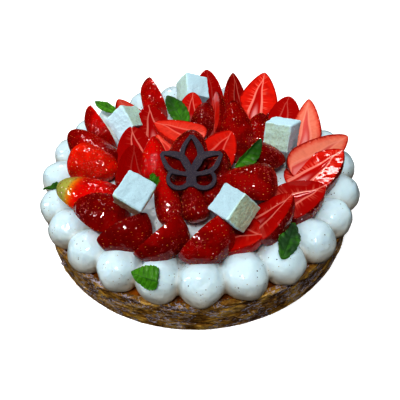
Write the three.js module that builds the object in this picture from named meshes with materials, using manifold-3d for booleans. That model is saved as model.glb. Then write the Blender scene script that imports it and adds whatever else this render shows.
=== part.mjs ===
// Strawberry tart, 200 mm across: a baked shortcrust case with a caramel filling, a bed of vanilla
// cream ringed by piped dollops, halved strawberries, marshmallow cubes, mint leaves and a thin
// openwork chocolate ornament. Millimetres, +Z up. The origin is under the middle of the cream, in
// the plane of the crust's flat underside, and the front of the tart is at -Y.
import * as THREE from "three";
import { mergeVertices } from "three/addons/utils/BufferGeometryUtils.js";
import Module from "manifold-3d";

const wasm = await Module();
wasm.setup();

// Driving dimensions
const GAP = 0.35; // left between pieces that touch
const SLIVER = 0.1; // finer facets than this, which a cut leaves, are joined

const CRUST_RADIUS = 99.2; // at the rim
const CRUST_FOOT = 98.2; // radius of the flat underside
const CRUST_HEIGHT = 21;
const CRUST_WALL = 3.2;
const CRUST_BASE = 4;
const CRUST_SIDES = 60;
const CRUST_SHIFT = -1.2; // the case sits a little to the left under its cream
const SQUEEZE = 0.98; // how much narrower case and cream are from side to side than from front to back

const FILLING_TOP = 19.3;

const CREAM_SIDES = 24;
const CREAM_EDGE = 86; // radius of the bed inside the dollops
const CREAM_PEAK = 40; // height of the bed's middle
const DOLLOP_RADIUS = 11.8;
const DOLLOP_RING = 89.4;
const DOLLOP_HEIGHT = 27.9; // of a dollop's centre
const DOLLOP_SIDES = 12;
const DOLLOP_ROWS = 6;
const DOLLOP_TAIL = 1.6; // how far the nozzle draws a dollop inward

const BERRY_SHOULDER = 0.27; // where a berry is widest, as a share of its length
const BERRY_POINT = 0.5; // how straight its sides run to the tip: 0 is round and 1 a cone
const BERRY_SECTIONS = [0, 0.04, 0.17, 0.38, 0.6, 0.8, 0.94, 1];
const BERRY_SIDES = 5; // facets round the skin of half a berry

const LEAF_THICKNESS = 0.6;
const LEAF_ROWS = 5;
const LEAF_COLUMNS = 2;

const ORNAMENT_THICKNESS = 2;

const UP = new THREE.Vector3(0, 0, 1);

function vector([x, y, z]) {
  return new THREE.Vector3(x, y, z);
}

// ---- Solids and their joins ----

// A closed geometry as a solid that can be cut and joined.
function solidOf(geometry) {
  geometry.deleteAttribute("normal");
  geometry.deleteAttribute("uv");
  const merged = mergeVertices(geometry, 0.0001);
  return new wasm.Manifold(new wasm.Mesh({
    numProp: 3,
    vertProperties: new Float32Array(merged.attributes.position.array),
    triVerts: new Uint32Array(merged.index.array),
  }));
}

// A closed geometry from a list of points and a list of corner triples.
function geometryFrom(points, triangles) {
  const geometry = new THREE.BufferGeometry();
  const numbers = points.flatMap((point) => [point.x, point.y, point.z]);
  geometry.setAttribute("position", new THREE.Float32BufferAttribute(numbers, 3));
  geometry.setIndex(triangles.flat());
  return geometry;
}

// The largest single body of a solid: a cut can leave crumbs, which are dropped.
function largestBody(solid) {
  return solid.decompose().reduce((best, body) => (body.volume() > best.volume() ? body : best));
}

function meshOf(name, solid, colour, roughness) {
  const body = largestBody(solid.simplify(SLIVER));
  const { vertProperties, triVerts } = body.getMesh();
  const geometry = new THREE.BufferGeometry();
  geometry.setAttribute("position", new THREE.BufferAttribute(new Float32Array(vertProperties), 3));
  geometry.setIndex(new THREE.BufferAttribute(new Uint32Array(triVerts), 1));
  geometry.computeVertexNormals();
  const material = new THREE.MeshStandardMaterial({ color: colour, roughness, metalness: 0 });
  const mesh = new THREE.Mesh(geometry, material);
  mesh.name = name;
  return mesh;
}

// A round piece turned about Z from [radius, height] pairs, which start and end on the axis, with its
// surface then moved by reshape(radius, height, angle) and the whole shifted along X.
function turned(profile, sides, shift, reshape) {
  const points = profile.map(([radius, height]) => new THREE.Vector2(radius, height));
  const geometry = new THREE.LatheGeometry(points, sides).rotateX(Math.PI / 2);
  const position = geometry.attributes.position;
  for (let i = 0; i < position.count; i += 1) {
    const x = position.getX(i);
    const y = position.getY(i);
    const radius = Math.hypot(x, y);
    const angle = Math.round((Math.atan2(y, x) * sides) / (2 * Math.PI)) * ((2 * Math.PI) / sides);
    const [newRadius, newHeight] = reshape(radius, position.getZ(i), angle);
    if (radius < 0.001) {
      position.setXYZ(i, 0, 0, newHeight);
    } else {
      position.setXYZ(i, newRadius * Math.cos(angle), newRadius * Math.sin(angle), newHeight);
    }
  }
  return solidOf(geometry.scale(SQUEEZE, 1, 1).translate(shift, 0, 0));
}

// ---- Crust: a straight-sided case of browned pastry with craggy, flaky layers ----

// How far the wall swells or sinks at a height and an angle.
function flake(height, angle) {
  const layers = Math.sin(1.15 * height + 1.4 * Math.sin(3 * angle) + 1.9 * Math.sin(7 * angle + 1));
  const lumps = Math.sin(11 * angle + 0.4 * height) + Math.sin(19 * angle + 2);
  return 0.5 * layers + 0.2 * lumps;
}

function rimHeight(angle) {
  return CRUST_HEIGHT + 0.35 * Math.sin(5 * angle + 0.6) + 0.3 * Math.sin(13 * angle);
}

function makeCrust() {
  const outerWall = [1.2, 4, 7.5, 11, 14.5, 18].map((height) => [CRUST_FOOT + 0.8, height]);
  const inner = CRUST_RADIUS - CRUST_WALL;
  const profile = [
    [0, 0],
    [CRUST_FOOT, 0],
    ...outerWall,
    [CRUST_RADIUS, CRUST_HEIGHT - 0.6],
    [CRUST_RADIUS - 0.9, CRUST_HEIGHT],
    [inner + 0.8, CRUST_HEIGHT],
    [inner, CRUST_HEIGHT - 0.8],
    [inner - 1, CRUST_BASE],
    [0, CRUST_BASE],
  ];
  return turned(profile, CRUST_SIDES, CRUST_SHIFT, (radius, height, angle) => {
    if (height > CRUST_HEIGHT - 1 && radius > inner + 0.1) {
      const swell = radius > inner + 2 ? 0.4 * flake(height, angle) : 0;
      return [radius + swell, height - CRUST_HEIGHT + rimHeight(angle)];
    }
    if (radius > CRUST_FOOT + 0.1 && height > 1) {
      return [radius + flake(height, angle), height];
    }
    return [radius, height];
  });
}

// ---- Filling: a disc of glazed caramel that fills the case and shows between rim and cream ----

function makeFilling() {
  const inner = CRUST_RADIUS - CRUST_WALL;
  const profile = [
    [0, CRUST_BASE + GAP],
    [inner - 1 - GAP, CRUST_BASE + GAP],
    [inner - GAP - 0.1, FILLING_TOP],
    [0, FILLING_TOP],
  ];
  return turned(profile, CRUST_SIDES, CRUST_SHIFT, (radius, height) => [radius, height]);
}

// ---- Cream: a low mound inside a ring of round dollops, all piped in one go ----

// The angle in degrees of each dollop, counted anticlockwise from the left. They differ a little in
// size and height, and those at the back right are piped nearer the middle.
const dollops = [
  -178, -161, -148, -133.5, -119.5, -105, -91, -76.5, -62.5, -47.5, -33.5, -19.5,
  -3.5, 11.5, 26.5, 41.5, 56.5, 71.5, 86, 101, 117, 135, 150.5, 166,
].map((degrees, index) => ({
  angle: THREE.MathUtils.degToRad(degrees),
  radius: DOLLOP_RADIUS - 0.35 * Math.sin(THREE.MathUtils.degToRad(degrees)) + 0.2 * Math.sin(2.3 * index),
  lift: 0.3 * Math.sin(1.7 * index + 1),
  inset: 4 * Math.max(Math.cos(THREE.MathUtils.degToRad(degrees - 38)), 0) ** 6,
}));

function makeDollop({ angle, radius, lift, inset }, grow) {
  const geometry = new THREE.SphereGeometry(radius + grow, DOLLOP_SIDES, DOLLOP_ROWS).rotateX(Math.PI / 2);
  const position = geometry.attributes.position;
  for (let i = 0; i < position.count; i += 1) {
    if (position.getX(i) < 0) {
      position.setX(i, position.getX(i) * DOLLOP_TAIL);
    }
  }
  geometry.translate(DOLLOP_RING - inset, 0, 0).rotateZ(angle).scale(SQUEEZE, 1, 1);
  return solidOf(geometry.translate(0, 0, DOLLOP_HEIGHT + lift));
}

function makeCreamBed(grow) {
  const profile = [
    [0, 12],
    [CREAM_EDGE + grow, 12],
    [CREAM_EDGE + grow, CREAM_PEAK - 11 + grow],
    [58, CREAM_PEAK - 5 + grow],
    [28, CREAM_PEAK - 1.5 + grow],
    [0, CREAM_PEAK + grow],
  ];
  return turned(profile, CREAM_SIDES, 0, (radius, height) => [radius, height]);
}

// Everything that the cream has to stay clear of: the filling below it and the crust's rim.
function makeCase() {
  const rimInside = CRUST_RADIUS - CRUST_WALL - GAP;
  const profile = [
    [0, -1],
    [CRUST_RADIUS + 6, -1],
    [CRUST_RADIUS + 6, CRUST_HEIGHT + GAP],
    [rimInside, CRUST_HEIGHT + GAP],
    [rimInside - 0.1, FILLING_TOP + GAP],
    [0, FILLING_TOP + GAP],
  ];
  return turned(profile, CRUST_SIDES, CRUST_SHIFT, (radius, height, angle) => (
    height > CRUST_HEIGHT ? [radius, rimHeight(angle) + GAP] : [radius, height]
  ));
}

function makeCream(grow) {
  const whole = dollops.reduce((cream, dollop) => cream.add(makeDollop(dollop, grow)), makeCreamBed(grow));
  return grow > 0 ? whole : whole.subtract(makeCase());
}

// ---- Strawberries: halves, flat on the cut side, lying every way on the cream ----

// The half width of a berry along its length, from its stem end (0) to its tip (1), where 1 is widest,
// at the shoulder. The stem end is rounded, and the more neck it has, the more it tapers instead. The
// more point the tip end has, the more its sides are those of a cone.
function berryFullness(share, shoulder, neck, point) {
  if (share < shoulder) {
    return (1 - ((shoulder - share) / shoulder) ** (2.6 - 1.5 * neck)) ** (0.5 + 0.4 * neck);
  }
  return (1 - ((share - shoulder) / (1 - shoulder)) ** (2.1 - 0.95 * point)) ** (0.5 + 0.22 * point);
}

// stem and tip are the two ends of the cut face's middle line. A roll of 0 turns the cut face up and
// 180 turns the skin up. A copy with grow is larger all round.
function makeBerry(berry, grow) {
  const { stem, tip, width, roll, shoulder = BERRY_SHOULDER, neck = 0, point = BERRY_POINT } = berry;
  const axis = vector(tip).sub(vector(stem));
  const length = axis.length() + 2 * grow;
  axis.normalize();
  const upright = UP.clone().addScaledVector(axis, -UP.dot(axis)).normalize();
  const face = upright.applyAxisAngle(axis, THREE.MathUtils.degToRad(roll));
  const across = face.clone().cross(axis);
  const start = vector(stem).addScaledVector(axis, -grow).addScaledVector(face, grow);
  const halfWidth = width / 2 + grow;
  const depth = width / 2 + 2 * grow;

  const points = [];
  const ring = BERRY_SIDES + 1;
  for (const share of BERRY_SECTIONS.slice(1, -1)) {
    const fullness = berryFullness(share, shoulder, neck, point);
    for (let i = 0; i < ring; i += 1) {
      const turn = (Math.PI * i) / BERRY_SIDES;
      points.push(start.clone()
        .addScaledVector(axis, length * share)
        .addScaledVector(across, Math.cos(turn) * halfWidth * fullness)
        .addScaledVector(face, -Math.sin(turn) * depth * fullness));
    }
  }
  const rings = BERRY_SECTIONS.length - 2;
  const stemPoint = points.push(start.clone()) - 1;
  const tipPoint = points.push(start.clone().addScaledVector(axis, length)) - 1;
  const triangles = [];
  for (let i = 0; i < ring; i += 1) {
    const next = (i + 1) % ring;
    triangles.push([stemPoint, i, next]);
    triangles.push([tipPoint, (rings - 1) * ring + next, (rings - 1) * ring + i]);
    for (let k = 0; k < rings - 1; k += 1) {
      const here = k * ring;
      const there = here + ring;
      triangles.push([here + i, there + i, there + next]);
      triangles.push([here + i, there + next, here + next]);
    }
  }
  return solidOf(geometryFrom(points, triangles));
}

// Where each half berry lies. One that is listed sooner lies over those that follow it.
const berries = [
  // the front row, fanned round from left to right
  { stem: [-12, -60, 43], tip: [-34, -80, 42], width: 30, roll: 62, point: 0.1 },
  { stem: [8, -62, 38], tip: [-11, -84, 46], width: 32, roll: 71, point: 0.2 },
  { stem: [10, -63, 36], tip: [31, -74, 44], width: 29, roll: 0 },
  { stem: [-28, -57, 40], tip: [-53, -71, 43], width: 27, roll: 70, point: 0 },
  { stem: [24, -66, 38], tip: [47, -57, 55], width: 28, roll: -19 },
  { stem: [42, -48, 39], tip: [68, -44, 48], width: 31, roll: -7 },
  { stem: [53, -31, 36], tip: [84, -17, 51], width: 32, roll: -8 },
  { stem: [55, -22, 39], tip: [92, -1, 49], width: 24, roll: 36, point: 0.6 },
  // the left side
  { stem: [-42, -61, 41], tip: [-68, -38, 41], width: 25, roll: 197, point: 0 },
  { stem: [-44, -47, 39], tip: [-81, -27, 43], width: 25, roll: 188, point: 0 },
  { stem: [-77, 0, 40], tip: [-48, -15, 42], width: 26, roll: 222, point: 0.2 },
  { stem: [-52, -10, 36], tip: [-82, 21, 47.5], width: 25, roll: 178, point: 0.3 },
  // round the ornament
  { stem: [-1, -60, 41], tip: [-6, -43, 54], width: 15, roll: 177 },
  { stem: [-15, -59, 38], tip: [-21, -31, 56], width: 15, roll: 182 },
  { stem: [4, -52, 44], tip: [18, -40, 49], width: 16, roll: 180 },
  { stem: [9, -35, 44], tip: [14, -15, 54], width: 17, roll: 180 },
  { stem: [43, -40, 45], tip: [8, -36, 47], width: 25, roll: 183 },
  { stem: [-7, -34, 48], tip: [-2, -2, 59], width: 28, roll: 146 },
  { stem: [-14, -38, 40], tip: [10, -33, 46], width: 20, roll: 180 },
  { stem: [-25, -27, 42], tip: [-25, -8, 61], width: 17, roll: 180 },
  { stem: [-36, -33, 39], tip: [-38, -3, 52], width: 24, roll: 31 },
  { stem: [28, -13, 44], tip: [52, -15, 44], width: 23, roll: 181 },
  { stem: [6, -19, 46], tip: [21, -1, 57], width: 23, roll: 20 },
  { stem: [4, -4, 55], tip: [-26, 13, 57], width: 24, roll: 0 },
  { stem: [-11, -25, 48], tip: [-24, 4, 54], width: 22, roll: 0 },
  { stem: [-36, -12, 40], tip: [-41, 16, 53], width: 25, roll: 2 },
  { stem: [26, -8, 38], tip: [24, 29, 60], width: 24, roll: 180 },
  { stem: [37, -3, 36], tip: [42, 22, 54], width: 25, roll: 180 },
  { stem: [-26, 9, 43], tip: [-31, 36, 56], width: 25, roll: 2 },
  { stem: [5, 18, 41], tip: [7, 42, 52], width: 20, roll: 180 },
  { stem: [9, 13, 43], tip: [14, 43, 59], width: 22, roll: -62 },
  { stem: [-5, 25, 44], tip: [-1, 46, 58], width: 19, roll: 4, point: 0.3 },
  // the back row, standing and leaning outward, from right to left
  { stem: [67, 4, 37], tip: [76, 38, 53], width: 22, roll: -23, point: 0.8 },
  { stem: [56, 23, 38], tip: [65, 48, 50], width: 22, roll: 1, point: 0.3 },
  { stem: [39.5, 38.5, 36], tip: [51, 71, 57], width: 27, roll: 2, shoulder: 0.46, neck: 0.75, point: 0.9 },
  { stem: [32, 53, 34], tip: [28, 69, 59], width: 23, roll: 34, point: 0.8 },
  { stem: [10, 55, 38], tip: [10, 84, 55], width: 22, roll: 6 },
  { stem: [-20, 51, 39], tip: [-33, 78, 53], width: 28, roll: 80, point: 0.3 },
  { stem: [-53, 17, 38], tip: [-72, 46, 51], width: 24, roll: 78, point: 0.2 },
  { stem: [-39, 42, 39], tip: [-54, 58, 49], width: 23, roll: 22 },
];

// ---- Marshmallow cubes: cut by hand and tumbled over the berries ----

function makeCube({ edge, centre, turn }, grow) {
  const side = edge + 2 * grow;
  const geometry = new THREE.BoxGeometry(side, side, side);
  const angles = turn.map((degrees) => THREE.MathUtils.degToRad(degrees));
  geometry.applyMatrix4(new THREE.Matrix4().makeRotationFromEuler(new THREE.Euler(...angles)));
  return solidOf(geometry.translate(...centre));
}

const cubes = [
  { edge: 17.4, centre: [-1.5, 59.5, 51.5], turn: [-150, -29, -2] }, // at the back
  { edge: 16.7, centre: [-44.7, 26.5, 49], turn: [-122, 31, 55] }, // back left
  { edge: 16.2, centre: [-33.5, -53.5, 57], turn: [-148, -12, 31] }, // front left
  { edge: 16.7, centre: [51, -2, 53.5], turn: [-111, 33, 6] }, // right
  { edge: 16.2, centre: [17, -63, 53], turn: [-168, 33, 48] }, // in front
];

// ---- Mint leaves: thin, folded along the rib and wavy at the edge ----

// The half width of a leaf along its rib, where 1 is widest. The ends keep a little width.
function leafFullness(share, widest) {
  return Math.max(Math.sin(Math.PI * share ** (Math.log(0.5) / Math.log(widest))) ** 0.65 || 0, 0.06);
}

// halves are the widths left and right of the rib, seen from the side that the leaf faces with its tip
// up. fold lifts the edges above the rib, bend lifts the middle of the rib above its two ends.
function makeLeaf({ base, tip, facing, halves, widest, fold, bend }) {
  const axis = vector(tip).sub(vector(base));
  const length = axis.length();
  axis.normalize();
  const face = vector(facing).addScaledVector(axis, -vector(facing).dot(axis)).normalize();
  const right = axis.clone().cross(face);
  const points = [];
  for (const thickness of [0, LEAF_THICKNESS]) {
    for (let row = 0; row <= LEAF_ROWS; row += 1) {
      const share = row / LEAF_ROWS;
      for (let column = 0; column <= LEAF_COLUMNS; column += 1) {
        const side = (2 * column) / LEAF_COLUMNS - 1;
        const reach = side * halves[side < 0 ? 0 : 1] * leafFullness(share, widest);
        const wave = 0.35 * side * side * Math.sin(2.1 * row + 1.3 * column);
        const lift = fold * Math.abs(reach) + bend * Math.sin(Math.PI * share) + wave - thickness;
        points.push(vector(base)
          .addScaledVector(axis, length * share)
          .addScaledVector(right, reach)
          .addScaledVector(face, lift));
      }
    }
  }
  const columns = LEAF_COLUMNS + 1;
  const under = columns * (LEAF_ROWS + 1);
  const triangles = [];
  for (let row = 0; row < LEAF_ROWS; row += 1) {
    for (let column = 0; column < LEAF_COLUMNS; column += 1) {
      const a = row * columns + column;
      const b = a + 1;
      const c = a + columns;
      const d = c + 1;
      triangles.push([a, b, d], [a, d, c]);
      triangles.push([under + a, under + d, under + b], [under + a, under + c, under + d]);
    }
  }
  const rim = [];
  for (let column = 0; column < LEAF_COLUMNS; column += 1) {
    rim.push(column);
  }
  for (let row = 0; row < LEAF_ROWS; row += 1) {
    rim.push(row * columns + LEAF_COLUMNS);
  }
  for (let column = LEAF_COLUMNS; column > 0; column -= 1) {
    rim.push(LEAF_ROWS * columns + column);
  }
  for (let row = LEAF_ROWS; row > 0; row -= 1) {
    rim.push(row * columns);
  }
  rim.forEach((here, i) => {
    const next = rim[(i + 1) % rim.length];
    triangles.push([here, under + here, under + next], [here, under + next, next]);
  });
  return solidOf(geometryFrom(points, triangles));
}

const leaves = [
  { // back left, over the dollops
    base: [-54, 48, 44], tip: [-72, 62, 45], facing: [-0.4, -0.5, 0.8],
    halves: [3.4, 3.4], widest: 0.5, fold: 0.1, bend: 0.5,
  },
  { // left, lying between two dollops
    base: [-78, -24, 39.5], tip: [-93, -21, 36], facing: [0.05, 0.25, 0.95],
    halves: [4.5, 4.5], widest: 0.4, fold: 0.2, bend: 0.5,
  },
  { // a sprig's small top leaf beside the front left cube
    base: [-24, -43, 53], tip: [-25, -36, 56], facing: [0, -0.4, 0.9],
    halves: [2, 2], widest: 0.45, fold: 0.3, bend: 0.8,
  },
  { // in the middle of the back
    base: [-6, 16, 50], tip: [-19, 48, 55], facing: [-0.2, -0.2, 0.95],
    halves: [5.5, 7.5], widest: 0.45, fold: 0.1, bend: 0.5,
  },
  { // right of the ornament, folded along its rib
    base: [20.5, -28, 51], tip: [37, -12, 58], facing: [0.2, -0.6, 0.8],
    halves: [1.5, 8], widest: 0.4, fold: 0.15, bend: 0.5,
  },
  { // front right, over a dollop
    base: [38, -86, 39.5], tip: [48, -63, 40], facing: [0.25, -0.3, 0.9],
    halves: [5.8, 5.4], widest: 0.45, fold: 0.15, bend: 2,
  },
  { // front left, folded over a dollop
    base: [-22, -95.5, 39], tip: [-35, -87.5, 36.5], facing: [-0.5, -0.5, 0.7],
    halves: [5.2, 7], widest: 0.25, fold: -0.3, bend: 0.8,
  },
];

// ---- Ornament: a palmette of thick and thin strokes, cut from a thin plate of chocolate ----

// A flat stroke along line(share), with halfWidth(share) on either side, in a number of straight
// steps. Strokes are about 20 mm long, so with grow they overrun their ends by grow / 20 of that.
function makeStroke(line, halfWidth, steps, grow) {
  const left = [];
  const right = [];
  for (let step = 0; step <= steps; step += 1) {
    const share = (step / steps) * (1 + grow / 10) - grow / 20;
    const here = line(share);
    const along = line(share + 0.01).sub(line(share - 0.01)).normalize();
    const across = new THREE.Vector2(-along.y, along.x).multiplyScalar(halfWidth(share) + grow);
    left.push(here.clone().add(across));
    right.unshift(here.clone().sub(across));
  }
  const options = { depth: ORNAMENT_THICKNESS + 2 * grow, bevelEnabled: false };
  return solidOf(new THREE.ExtrudeGeometry(new THREE.Shape([...left, ...right]), options));
}

// One side of a pointed loop that starts at foot and leans by degrees from upright.
function loopSide(foot, length, belly, degrees, side) {
  return (share) => new THREE.Vector2(side * belly * Math.sin(Math.PI * share), length * share)
    .rotateAround(new THREE.Vector2(), THREE.MathUtils.degToRad(-degrees))
    .add(foot);
}

// A curl that starts at the foot of the loops and winds in on itself.
function curl(foot, side) {
  const middle = new THREE.Vector2(side * 7.5, -1.8);
  const radius = middle.length();
  const start = Math.atan2(-middle.y, -middle.x);
  return (share) => {
    const angle = start + side * share * 1.9 * Math.PI;
    const reach = radius * (1 - 0.7 * share);
    return new THREE.Vector2(Math.cos(angle) * reach, Math.sin(angle) * reach).add(middle).add(foot);
  };
}

// The plate leans back on the berries in the middle of the tart.
const ornamentPlace = new THREE.Matrix4().makeBasis(
  new THREE.Vector3(0.999, -0.035, -0.037),
  new THREE.Vector3(0.048, 0.872, 0.487),
  new THREE.Vector3(0.016, -0.488, 0.872),
).setPosition(-3.5, -34.5, 62.5);

function makeOrnament(grow) {
  const foot = new THREE.Vector2(0, -8);
  const strokes = [];
  for (const side of [-1, 1]) {
    const swell = (most, least) => (share) => least + (most - least) * Math.sin(Math.PI * share);
    strokes.push(makeStroke(loopSide(foot, 22.5, 5, 0, side), swell(side > 0 ? 2 : 1.4, 1), 5, grow));
    for (const lean of [-54, 54]) {
      const thick = side * lean > 0 ? 1.4 : 2;
      strokes.push(makeStroke(loopSide(foot, 20, 4.6, lean, side), swell(thick, 1), 5, grow));
    }
    strokes.push(makeStroke(curl(foot, side), (share) => 1.5 - 0.7 * share, 9, grow));
    strokes.push(makeStroke(loopSide(foot, -7, 1.6, 0, side), swell(1.2, 0.9), 3, grow));
  }
  const tie = (share) => new THREE.Vector2(8 * share - 4, 0).add(foot);
  strokes.push(makeStroke(tie, (share) => 1.2 + 0.5 * Math.sin(Math.PI * share), 2, grow));
  return strokes.reduce((whole, stroke) => whole.add(stroke))
    .translate(0, 0, -ORNAMENT_THICKNESS / 2 - grow)
    .transform(ornamentPlace.elements);
}

// ---- The tart: each piece in turn gives way to those that are already in place ----

const tart = new THREE.Group();
const inPlace = [];

function settle(name, solid, grown, colour, roughness) {
  const rest = inPlace.reduce((left, piece) => left.subtract(piece), solid);
  tart.add(meshOf(name, rest, colour, roughness));
  if (grown) {
    inPlace.push(grown);
  }
}

tart.add(meshOf("crust", makeCrust(), 0x7a4a1e, 0.8));
tart.add(meshOf("filling", makeFilling(), 0x8a4a14, 0.25));
settle("cream", makeCream(0), makeCream(GAP), 0xf3f6f7, 0.3);
settle("ornament", makeOrnament(0), makeOrnament(GAP), 0x3a3540, 0.8);
cubes.forEach((cube, i) => {
  settle(`cube_${i + 1}`, makeCube(cube, 0), makeCube(cube, GAP), 0xdfeaf0, 0.9);
});
berries.forEach((berry, i) => {
  const number = String(i + 1).padStart(2, "0");
  settle(`berry_${number}`, makeBerry(berry, 0), makeBerry(berry, GAP), 0xa8101a, 0.25);
});
leaves.forEach((leaf, i) => {
  settle(`leaf_${i + 1}`, makeLeaf(leaf), null, 0x2f7a24, 0.5);
});

export default tart;
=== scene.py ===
import random
from math import atan2, copysign, cos, exp, hypot, log, pi, radians, sin

import bmesh
import bpy
import numpy as np
from mathutils import Matrix, Vector
from mathutils.noise import fractal, noise


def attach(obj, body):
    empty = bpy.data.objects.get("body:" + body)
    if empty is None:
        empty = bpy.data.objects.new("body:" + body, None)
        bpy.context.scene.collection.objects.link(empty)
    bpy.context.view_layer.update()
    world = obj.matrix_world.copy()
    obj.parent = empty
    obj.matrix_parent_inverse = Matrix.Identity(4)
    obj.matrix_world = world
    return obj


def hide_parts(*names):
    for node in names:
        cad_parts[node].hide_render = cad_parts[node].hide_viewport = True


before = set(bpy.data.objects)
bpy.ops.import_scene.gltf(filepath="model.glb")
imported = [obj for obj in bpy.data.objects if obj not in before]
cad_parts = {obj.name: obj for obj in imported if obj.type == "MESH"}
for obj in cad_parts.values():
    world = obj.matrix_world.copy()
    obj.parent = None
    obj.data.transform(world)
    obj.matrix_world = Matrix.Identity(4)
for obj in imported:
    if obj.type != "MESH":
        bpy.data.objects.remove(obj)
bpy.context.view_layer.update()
MM = 0.001  # the tart's sizes are given in millimetres
bpy.ops.object.select_all(action="DESELECT")

# ---- Camera ----
# The tart is seen from its front and from well above, as by somebody who stands at the table.
CAMERA_PLACE = (-0.00005, -0.2213, 0.2061)
CAMERA_DROP = radians(42.78)  # how far below the horizon it looks
CAMERA_ROLL = radians(-2.92)
CAMERA_LENS = 39.57
CAMERA_NEAREST = 0.01

bpy.ops.object.camera_add()
camera = bpy.context.object
camera.name = "camera"
camera.data.lens = CAMERA_LENS
camera.data.clip_start = CAMERA_NEAREST
tilt = Matrix.Rotation(pi / 2 - CAMERA_DROP, 4, "X")
camera.matrix_world = Matrix.Translation(CAMERA_PLACE) @ tilt @ Matrix.Rotation(CAMERA_ROLL, 4, "Z")
bpy.context.scene.camera = camera

# ---- Light ----
# A long diffused lamp stands in front of the tart and above it, weak ones behind it and at its left,
# and a wide soft panel hangs over it. The room is dim and slightly cool.
TART_MIDDLE = Vector((0, 0, 0.03))
ROOM_LIGHT = 0.1
KEY_TURN = radians(35)

bpy.context.scene.view_settings.view_transform = "Standard"
bpy.context.scene.view_settings.look = "High Contrast"
room = bpy.data.worlds.new("room")
room.use_nodes = True
room.node_tree.nodes["Background"].inputs["Color"].default_value = (0.93, 0.97, 1, 1)
room.node_tree.nodes["Background"].inputs["Strength"].default_value = ROOM_LIGHT
bpy.context.scene.world = room
room.cycles_visibility.glossy = False


def hang_lamp(name, place, sides, power, colour):
    """A soft lamp with sides of those two lengths, turned to the middle of the tart."""
    bpy.ops.object.light_add(type="AREA", location=place)
    lamp = bpy.context.object
    lamp.name = name
    lamp.data.shape = "RECTANGLE"
    lamp.data.size, lamp.data.size_y = sides
    lamp.data.energy = power
    lamp.data.color = colour
    lamp.rotation_euler = (TART_MIDDLE - Vector(place)).to_track_quat("-Z", "Y").to_euler()
    return lamp


key = hang_lamp("key_lamp", (-0.1, -0.7, 1.16), (0.05, 0.3), 7, (1, 0.99, 0.98))
key.rotation_euler.rotate_axis("Z", KEY_TURN)
hang_lamp("back_lamp", (-0.281, 0.696, 0.805), (0.05, 0.4), 1, (1, 1, 1))
hang_lamp("side_lamp", (-1.04, -0.1, 0.56), (0.06, 0.3), 1.8, (1, 1, 1))
panel = hang_lamp("top_panel", (-0.24, -0.04, 1.7), (1.5, 1.5), 12, (0.95, 0.98, 1))
panel.visible_glossy = False

# ---- Floor ----
# A plain pale table top, with a pale dome far round it. Neither lights the tart or shows in its glaze.
FLOOR_SIZE = 6
DOME_RADIUS = 2.9

bpy.ops.mesh.primitive_plane_add(size=FLOOR_SIZE)
floor = bpy.context.object
floor.name = "floor"


def new_material(name, roughness, **settings):
    """A material with its main shader's plain sockets set by name, underscores standing for spaces."""
    material = bpy.data.materials.new(name)
    material.use_nodes = True
    shader = material.node_tree.nodes["Principled BSDF"]
    shader.inputs["Roughness"].default_value = roughness
    for socket, value in settings.items():
        shader.inputs[socket.replace("_", " ")].default_value = value
    return material


def add_node(tree, kind, sockets=None, **settings):
    """A node of that kind in a material's tree, which is the id_data of all its sockets. A socket is
    given a value, or another node's output."""
    node = tree.nodes.new("ShaderNode" + kind)
    for name, value in settings.items():
        setattr(node, name, value)
    for name, value in (sockets or {}).items():
        if isinstance(value, bpy.types.NodeSocket):
            tree.links.new(value, node.inputs[name])
        else:
            node.inputs[name].default_value = value
    return node


def join_shader(socket, output):
    """Joins a node's output to a socket of the main shader in its tree."""
    output.id_data.links.new(output, output.id_data.nodes["Principled BSDF"].inputs[socket])


def ramp(value, *stops):
    """A colour for value, blended between stops, each a place from 0 to 1 and a colour."""
    node = add_node(value.id_data, "ValToRGB", {"Fac": value})
    elements = node.color_ramp.elements
    elements.remove(elements[1])
    elements[0].position = stops[0][0]
    elements[0].color = (*stops[0][1], 1)
    for place, colour in stops[1:]:
        elements.new(place).color = (*colour, 1)
    return node.outputs["Color"]


floor_paint = new_material(
    "floor_paint", 0.8, Specular_IOR_Level=0.2, Emission_Color=(1, 1, 1, 1), Emission_Strength=0.26,
)
grain = add_node(floor_paint.node_tree, "TexNoise", {"Scale": 40}).outputs["Fac"]
join_shader("Base Color", ramp(grain, (0, (0.93, 0.94, 0.95)), (1, (0.96, 0.96, 0.96))))
floor.data.materials.append(floor_paint)
floor.visible_glossy = False
floor.visible_diffuse = False

bpy.ops.mesh.primitive_uv_sphere_add(segments=96, ring_count=48, radius=DOME_RADIUS)
dome = bpy.context.object
dome.name = "dome"
dome_paint = new_material(
    "dome_paint", 1, Specular_IOR_Level=0, Emission_Color=(0.8, 0.82, 0.84, 1), Emission_Strength=1,
)
dome.data.materials.append(dome_paint)
bpy.ops.object.shade_smooth()
dome.visible_glossy = False
dome.visible_diffuse = False
dome.visible_transmission = False
dome.visible_shadow = False

# ---- Crust ----
# A straight-sided case of shortcrust pastry, lined into a ring 20 mm high and baked dark. Its wall is
# craggy and flaky, with crumbs along the rim.
CRUST_RADIUS = 99.2
CRUST_HEIGHT = 21
CRUST_WALL = 3.2
CRUST_BASE = 4
CRUST_SHIFT = -1.2
CRUST_SIDES = 960
CRUST_ROWS = 52
RIM_ROWS = 4  # rows of faces over the top of the wall, and as many down its inner side
RIM_DROP = 0.7
RIM_WAVES = ((5, 0.35, 0.6), (13, 0.3, 0))  # how many go round, height and start
LAYER_DEPTH = 0.6
FLAKE_DEPTH = 0.3
CRACK_WIDTH = 0.16
GRIT_DEPTH = 0.12
SQUEEZE = 0.98  # the tart is a little narrower from side to side than from front to back


def mix(factor, first, second):
    """The output of a colour mix from first to second by factor."""
    sockets = {0: factor}
    for place, value in ((6, first), (7, second)):
        sockets[place] = value if isinstance(value, bpy.types.NodeSocket) else (*value, 1)
    return add_node(factor.id_data, "Mix", sockets, data_type="RGBA").outputs[2]


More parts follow.
